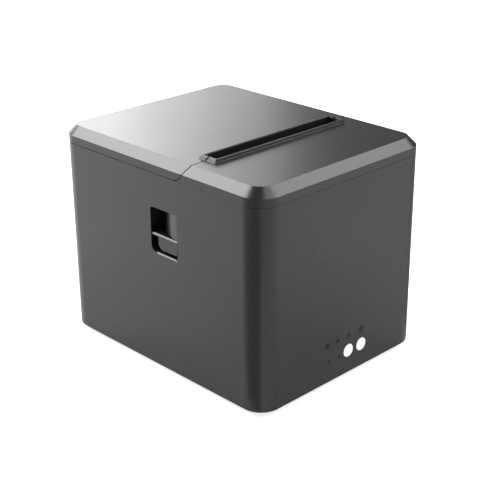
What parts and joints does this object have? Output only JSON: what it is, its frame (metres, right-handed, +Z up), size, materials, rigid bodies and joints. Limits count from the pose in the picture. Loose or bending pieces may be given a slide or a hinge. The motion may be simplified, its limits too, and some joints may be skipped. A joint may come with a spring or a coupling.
{
  "type": "receipt printer",
  "caption": "Desktop receipt printer for 80 mm roll paper: dark box case, hinged lid with platen, top exit slot with cutter, side release lever and two front buttons.",
  "frame": {"origin": "on the surface the feet rest on, below the middle of the case", "axes": "+Z up, -Y the front with the buttons, -X the left side with the finger pocket"},
  "size_m": [0.14, 0.176, 0.1412],
  "materials": {
    "case_plastic": "fine matte texture",
    "cover_plastic": "smooth satin gloss",
    "inner_plastic": "plain moulded",
    "button_plastic": "smooth white",
    "rubber": "matte",
    "platen_rubber": "ground",
    "screw_steel": "black zinc",
    "bright_steel": "ground",
    "plated_sheet": "zinc plated",
    "blade_steel": "hardened",
    "gear_brass": "cut",
    "gear_plastic": "acetal",
    "bush_plastic": "filled acetal",
    "head_ceramic": "glazed",
    "heat_sink": "extruded",
    "spring_steel": "drawn wire",
    "motor_can": "plated can",
    "lens": "smoked",
    "circuit_board": "solder mask",
    "switch_plastic": "moulded",
    "socket_plastic": "moulded",
    "socket_metal": "nickel plated shell",
    "ribbon": "film"
  },
  "bodies": {
    "case": {"base_plate": "case_plastic", "base_screws": "screw_steel", "board_screws": "screw_steel", "button_board": "circuit_board", "buzzer": "socket_plastic", "case_shell": "case_plastic", "cover_screws": "screw_steel", "cutter_base": "plated_sheet", "cutter_cover": "inner_plastic", "cutter_motor": "motor_can", "drawer_socket": "socket_plastic", "feed_motor": "motor_can", "front_cover": "cover_plastic", "head_cable": "ribbon", "head_heat_sink": "heat_sink", "head_springs": "spring_steel", "hinge_pins": "bright_steel", "idler_post": "bright_steel", "indicator_lenses": "lens", "lan_socket": "socket_metal", "lock_spring": "spring_steel", "main_board": "circuit_board", "mech_cross_plate": "plated_sheet", "mech_screws": "screw_steel", "mech_side_left": "plated_sheet", "mech_side_right": "plated_sheet", "paper_sensor": "socket_plastic", "paper_well": "inner_plastic", "power_inlet": "socket_plastic", "print_head": "head_ceramic", "rubber_feet": "rubber", "tact_switches": "switch_plastic", "usb_socket": "socket_metal"},
    "lid": {"lid_cover": "cover_plastic", "lid_liner": "inner_plastic", "lid_screws": "screw_steel", "platen_bracket": "plated_sheet", "fixed_blade": "blade_steel", "platen_bushes": "bush_plastic"},
    "platen": {"platen_shaft": "bright_steel", "platen_rubber": "platen_rubber", "platen_gear": "gear_plastic"},
    "idler": {"idler_gear": "gear_plastic"},
    "feed_drive": {"feed_pinion": "bright_steel"},
    "blade": {"moving_blade": "blade_steel", "blade_rack": "gear_plastic"},
    "cutter_drive": {"cutter_pinion": "gear_brass"},
    "lock": {"lock_shaft": "bright_steel", "lock_arm_left": "plated_sheet", "lock_arm_right": "plated_sheet", "release_lever": "case_plastic"},
    "power_key": {"power_button": "button_plastic"},
    "feed_key": {"feed_button": "button_plastic"}
  },
  "joints": [
    {"name": "lid_hinge", "type": "hinge", "parent": "case", "child": "lid", "pos_m": [0, 0.0838, 0.1285], "axis": [-1, 0, 0], "range_deg": [0, 90]},
    {"name": "platen_spin", "type": "hinge", "parent": "lid", "child": "platen", "pos_m": [0, -0.0233, 0.1135], "axis": [1, 0, 0], "continuous": true},
    {"name": "idler_spin", "type": "hinge", "parent": "case", "child": "idler", "pos_m": [0, -0.02132, 0.09924], "axis": [1, 0, 0], "continuous": true},
    {"name": "feed_motor_spin", "type": "hinge", "parent": "case", "child": "feed_drive", "pos_m": [0, -0.03852, 0.08719], "axis": [1, 0, 0], "continuous": true},
    {"name": "blade_slide", "type": "slide", "parent": "case", "child": "blade", "axis": [0, 1, 0], "range_m": [0, 0.009]},
    {"name": "cutter_motor_spin", "type": "hinge", "parent": "case", "child": "cutter_drive", "pos_m": [-0.025, -0.064, 0.1249], "axis": [0, 0, 1], "range_deg": [0, 107.5]},
    {"name": "lock_turn", "type": "hinge", "parent": "case", "child": "lock", "pos_m": [0, -0.0195, 0.08585], "axis": [-1, 0, 0], "range_deg": [0, 8], "stiffness_Nm_per_rad": 0.3, "springref_deg": -11.46},
    {"name": "power_press", "type": "slide", "parent": "case", "child": "power_key", "axis": [0, 1, 0], "range_m": [0, 0.0008], "stiffness_N_per_m": 1200, "springref_m": -0.0003},
    {"name": "feed_press", "type": "slide", "parent": "case", "child": "feed_key", "axis": [0, 1, 0], "range_m": [0, 0.0008], "stiffness_N_per_m": 1200, "springref_m": -0.0003}
  ],
  "couplings": [
    {"joint": "idler_spin", "follows": "platen_spin", "ratio": -1.6667},
    {"joint": "feed_motor_spin", "follows": "platen_spin", "ratio": 6.6667},
    {"joint": "cutter_motor_spin", "follows": "blade_slide", "rad_per_m": 208.33}
  ]
}
